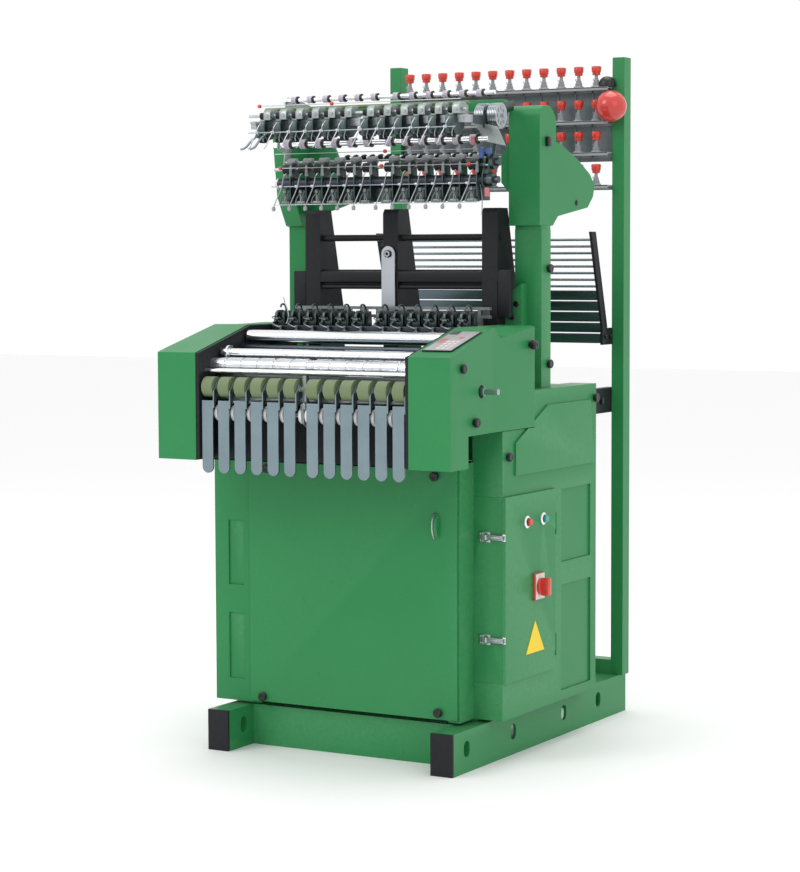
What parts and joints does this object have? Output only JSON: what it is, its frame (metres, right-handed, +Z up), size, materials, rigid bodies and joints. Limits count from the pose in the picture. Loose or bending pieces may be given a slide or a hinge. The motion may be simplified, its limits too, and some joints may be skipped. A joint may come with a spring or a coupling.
{
  "type": "narrow fabric needle loom",
  "caption": "Floor-standing loom for narrow tapes with green casings, a front roller bay with press levers, feeder shafts on two arms and a yarn creel at the rear",
  "frame": {"origin": "on the floor, at the middle of the overall footprint", "axes": "+X is the operator's right, -Y is the front with the rollers, +Z is up"},
  "size_m": [0.966, 1.186, 1.9],
  "materials": {
    "green_paint": "satin green machine enamel",
    "black_paint": "black enamel",
    "dark_steel": "dark oiled steel",
    "bright_steel": "bright machined steel",
    "chrome": "polished chrome",
    "red_plastic": "glossy red",
    "teal_plastic": "glossy teal green",
    "olive_rubber": "olive green rubber",
    "black_rubber": "black rubber",
    "pale_plastic": "pale lilac",
    "grey_paint": "grey enamel"
  },
  "bodies": {
    "frame": {"base_frame": "green_paint", "foot_caps": "black_paint", "inner_frame": "dark_steel", "left_side_casing": "green_paint", "right_side_casing": "green_paint", "front_panel": "green_paint", "cabinet_box": "green_paint", "right_end_cover": "green_paint", "left_end_cover": "green_paint", "roller_bay": "black_paint", "knob_screws": "black_paint", "motor": "black_paint", "drive_belt": "black_rubber", "weaving_heads": "dark_steel", "harness_frame": "black_paint", "right_arm": "green_paint", "arm_hood": "green_paint", "left_arm": "green_paint", "feeder_frame": "dark_steel", "yarn_feeders": "dark_steel", "rear_posts": "green_paint", "creel": "grey_paint", "tensioner_caps": "red_plastic", "stop_lamp": "red_plastic", "warp_guide": "black_paint"},
    "cabinet_door": {"cabinet_door": "green_paint"},
    "stop_button": {"stop_button": "red_plastic"},
    "start_button": {"start_button": "teal_plastic"},
    "main_switch": {"main_switch": "red_plastic"},
    "upper_latch": {"upper_latch": "bright_steel"},
    "lower_latch": {"lower_latch": "bright_steel"},
    "breast_roller": {"breast_roller": "chrome"},
    "guide_roller": {"guide_roller": "chrome"},
    "ring_roller": {"ring_roller": "bright_steel"},
    "take_up_roller": {"take_up_roller": "bright_steel"},
    "rubber_rollers": {"rubber_rollers": "olive_rubber"},
    "presser_lever_01": {"presser_lever_01": "bright_steel"},
    "presser_lever_02": {"presser_lever_02": "bright_steel"},
    "presser_lever_03": {"presser_lever_03": "bright_steel"},
    "presser_lever_04": {"presser_lever_04": "bright_steel"},
    "presser_lever_05": {"presser_lever_05": "bright_steel"},
    "presser_lever_06": {"presser_lever_06": "bright_steel"},
    "presser_lever_07": {"presser_lever_07": "bright_steel"},
    "presser_lever_08": {"presser_lever_08": "bright_steel"},
    "presser_lever_09": {"presser_lever_09": "bright_steel"},
    "presser_lever_10": {"presser_lever_10": "bright_steel"},
    "presser_lever_11": {"presser_lever_11": "bright_steel"},
    "presser_lever_12": {"presser_lever_12": "bright_steel"},
    "crank_shaft": {"crank_shaft": "bright_steel"},
    "main_shaft": {"main_shaft": "bright_steel"},
    "motor_shaft": {"motor_shaft": "bright_steel"},
    "batten": {"batten": "dark_steel"},
    "swing_lever": {"swing_lever": "bright_steel"},
    "top_shaft": {"top_shaft": "pale_plastic"},
    "middle_shaft": {"middle_shaft": "pale_plastic"},
    "upper_nip_rollers": {"upper_nip_rollers": "black_rubber"},
    "lower_nip_rollers": {"lower_nip_rollers": "black_rubber"},
    "upper_stop_wires": {"upper_stop_wires": "dark_steel"},
    "lower_stop_wires": {"lower_stop_wires": "dark_steel"},
    "ribbed_pulleys": {"ribbed_pulleys": "chrome"}
  },
  "joints": [
    {"name": "cabinet_door_hinge", "type": "hinge", "parent": "frame", "child": "cabinet_door", "pos_m": [0.431, 0.019, 0.462], "axis": [0, 0, 1], "range_deg": [0, 105]},
    {"name": "stop_button_press", "type": "slide", "parent": "cabinet_door", "child": "stop_button", "axis": [-1, 0, 0], "range_m": [0, 0.005], "stiffness_N_per_m": 400},
    {"name": "start_button_press", "type": "slide", "parent": "cabinet_door", "child": "start_button", "axis": [-1, 0, 0], "range_m": [0, 0.005], "stiffness_N_per_m": 400},
    {"name": "main_switch_turn", "type": "hinge", "parent": "cabinet_door", "child": "main_switch", "pos_m": [0.433, -0.096, 0.455], "axis": [1, 0, 0], "range_deg": [0, 90]},
    {"name": "upper_latch_turn", "type": "hinge", "parent": "frame", "child": "upper_latch", "pos_m": [0.378, -0.2865, 0.602], "axis": [0, 0, -1], "range_deg": [0, 100]},
    {"name": "lower_latch_turn", "type": "hinge", "parent": "frame", "child": "lower_latch", "pos_m": [0.378, -0.2865, 0.332], "axis": [0, 0, -1], "range_deg": [0, 100]},
    {"name": "breast_roller_spin", "type": "hinge", "parent": "frame", "child": "breast_roller", "pos_m": [0, -0.357, 1.119], "axis": [1, 0, 0], "continuous": true},
    {"name": "guide_roller_spin", "type": "hinge", "parent": "frame", "child": "guide_roller", "pos_m": [0, -0.485, 1.079], "axis": [1, 0, 0], "continuous": true},
    {"name": "ring_roller_spin", "type": "hinge", "parent": "frame", "child": "ring_roller", "pos_m": [0, -0.52, 1.048], "axis": [1, 0, 0], "continuous": true},
    {"name": "take_up_roller_spin", "type": "hinge", "parent": "frame", "child": "take_up_roller", "pos_m": [0, -0.4955, 0.985], "axis": [1, 0, 0], "continuous": true},
    {"name": "rubber_rollers_spin", "type": "hinge", "parent": "frame", "child": "rubber_rollers", "pos_m": [0, -0.563, 0.993], "axis": [1, 0, 0], "continuous": true},
    {"name": "presser_lever_01_swing", "type": "hinge", "parent": "frame", "child": "presser_lever_01", "pos_m": [-0.2699, -0.563, 0.993], "axis": [-1, 0, 0], "range_deg": [0, 30]},
    {"name": "presser_lever_02_swing", "type": "hinge", "parent": "frame", "child": "presser_lever_02", "pos_m": [-0.2189, -0.563, 0.993], "axis": [-1, 0, 0], "range_deg": [0, 30]},
    {"name": "presser_lever_03_swing", "type": "hinge", "parent": "frame", "child": "presser_lever_03", "pos_m": [-0.1679, -0.563, 0.993], "axis": [-1, 0, 0], "range_deg": [0, 30]},
    {"name": "presser_lever_04_swing", "type": "hinge", "parent": "frame", "child": "presser_lever_04", "pos_m": [-0.1169, -0.563, 0.993], "axis": [-1, 0, 0], "range_deg": [0, 30]},
    {"name": "presser_lever_05_swing", "type": "hinge", "parent": "frame", "child": "presser_lever_05", "pos_m": [-0.0659, -0.563, 0.993], "axis": [-1, 0, 0], "range_deg": [0, 30]},
    {"name": "presser_lever_06_swing", "type": "hinge", "parent": "frame", "child": "presser_lever_06", "pos_m": [-0.0149, -0.563, 0.993], "axis": [-1, 0, 0], "range_deg": [0, 30]},
    {"name": "presser_lever_07_swing", "type": "hinge", "parent": "frame", "child": "presser_lever_07", "pos_m": [0.0539, -0.563, 0.993], "axis": [-1, 0, 0], "range_deg": [0, 30]},
    {"name": "presser_lever_08_swing", "type": "hinge", "parent": "frame", "child": "presser_lever_08", "pos_m": [0.1049, -0.563, 0.993], "axis": [-1, 0, 0], "range_deg": [0, 30]},
    {"name": "presser_lever_09_swing", "type": "hinge", "parent": "frame", "child": "presser_lever_09", "pos_m": [0.1559, -0.563, 0.993], "axis": [-1, 0, 0], "range_deg": [0, 30]},
    {"name": "presser_lever_10_swing", "type": "hinge", "parent": "frame", "child": "presser_lever_10", "pos_m": [0.2069, -0.563, 0.993], "axis": [-1, 0, 0], "range_deg": [0, 30]},
    {"name": "presser_lever_11_swing", "type": "hinge", "parent": "frame", "child": "presser_lever_11", "pos_m": [0.2579, -0.563, 0.993], "axis": [-1, 0, 0], "range_deg": [0, 30]},
    {"name": "presser_lever_12_swing", "type": "hinge", "parent": "frame", "child": "presser_lever_12", "pos_m": [0.3089, -0.563, 0.993], "axis": [-1, 0, 0], "range_deg": [0, 30]},
    {"name": "crank_shaft_spin", "type": "hinge", "parent": "frame", "child": "crank_shaft", "pos_m": [0, -0.414, 0.99], "axis": [1, 0, 0], "continuous": true},
    {"name": "main_shaft_spin", "type": "hinge", "parent": "frame", "child": "main_shaft", "pos_m": [0, -0.18, 0.78], "axis": [1, 0, 0], "continuous": true},
    {"name": "motor_shaft_spin", "type": "hinge", "parent": "frame", "child": "motor_shaft", "pos_m": [-0.33, -0.06, 0.3], "axis": [1, 0, 0], "continuous": true},
    {"name": "batten_swing", "type": "hinge", "parent": "frame", "child": "batten", "pos_m": [0, -0.12, 1.02], "axis": [1, 0, 0], "range_deg": [-6, 10]},
    {"name": "swing_lever_swing", "type": "hinge", "parent": "frame", "child": "swing_lever", "pos_m": [-0.03, -0.083, 1.34], "axis": [0, 1, 0], "range_deg": [-20, 20]},
    {"name": "top_shaft_spin", "type": "hinge", "parent": "frame", "child": "top_shaft", "pos_m": [0, -0.147, 1.763], "axis": [1, 0, 0], "continuous": true},
    {"name": "middle_shaft_spin", "type": "hinge", "parent": "frame", "child": "middle_shaft", "pos_m": [0, -0.182, 1.64], "axis": [1, 0, 0], "continuous": true},
    {"name": "upper_nip_rollers_spin", "type": "hinge", "parent": "frame", "child": "upper_nip_rollers", "pos_m": [0, -0.307, 1.712], "axis": [1, 0, 0], "continuous": true},
    {"name": "lower_nip_rollers_spin", "type": "hinge", "parent": "frame", "child": "lower_nip_rollers", "pos_m": [0, -0.182, 1.572], "axis": [1, 0, 0], "continuous": true},
    {"name": "upper_stop_wires_tilt", "type": "hinge", "parent": "frame", "child": "upper_stop_wires", "pos_m": [0, -0.336, 1.666], "axis": [1, 0, 0], "range_deg": [-20, 0]},
    {"name": "lower_stop_wires_tilt", "type": "hinge", "parent": "frame", "child": "lower_stop_wires", "pos_m": [0, -0.224, 1.524], "axis": [1, 0, 0], "range_deg": [-20, 0]},
    {"name": "ribbed_pulleys_spin", "type": "hinge", "parent": "frame", "child": "ribbed_pulleys", "pos_m": [0.28, -0.147, 1.701], "axis": [1, 0, 0], "continuous": true}
  ],
  "couplings": [
    {"joint": "rubber_rollers_spin", "follows": "take_up_roller_spin", "ratio": -1.4815},
    {"joint": "motor_shaft_spin", "follows": "main_shaft_spin", "ratio": 2.0952}
  ]
}
